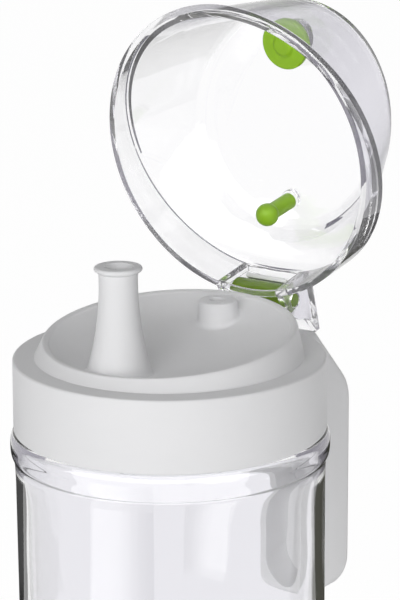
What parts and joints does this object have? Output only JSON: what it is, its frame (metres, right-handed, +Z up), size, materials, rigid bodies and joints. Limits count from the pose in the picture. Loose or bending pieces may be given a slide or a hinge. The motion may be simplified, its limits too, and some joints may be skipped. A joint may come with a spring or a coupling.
{
  "type": "oil bottle",
  "caption": "Round glass oil bottle with a screwed pouring cap, drip tray, spout, side grip handle and a clear flip lid with silicone seals.",
  "frame": {"origin": "centre of the jar's flat base", "axes": "+Z up the jar's axis, +Y towards the handle and the lid's hinge, -Y towards the spout"},
  "size_m": [0.0904, 0.1284, 0.2308],
  "materials": {
    "glass": "clear polished glass",
    "clear_silicone": "translucent silicone",
    "white_plastic": "satin moulded plastic",
    "clear_plastic": "clear moulded plastic, glossy",
    "green_silicone": "smooth satin silicone"
  },
  "bodies": {
    "jar": {"glass_jar": "glass"},
    "gasket": {"neck_gasket": "clear_silicone"},
    "cap": {"collar": "white_plastic", "pour_insert": "white_plastic"},
    "lid": {"clear_lid": "clear_plastic", "hinge_pin": "green_silicone", "spout_pad": "green_silicone", "vent_plug": "green_silicone"}
  },
  "joints": [
    {"name": "cap_lift", "type": "slide", "parent": "jar", "child": "gasket", "axis": [0, 0, 1], "range_m": [0, 0.004]},
    {"name": "cap_turn", "type": "hinge", "parent": "gasket", "child": "cap", "pos_m": [0, 0, 0.1356], "axis": [0, 0, 1], "range_deg": [0, 360]},
    {"name": "lid_hinge", "type": "hinge", "parent": "cap", "child": "lid", "pos_m": [0, 0.0466, 0.1426], "axis": [-1, 0, 0], "range_deg": [-80, 0]}
  ],
  "couplings": [
    {"joint": "cap_lift", "follows": "cap_turn", "m_per_rad": 0.00063661}
  ]
}
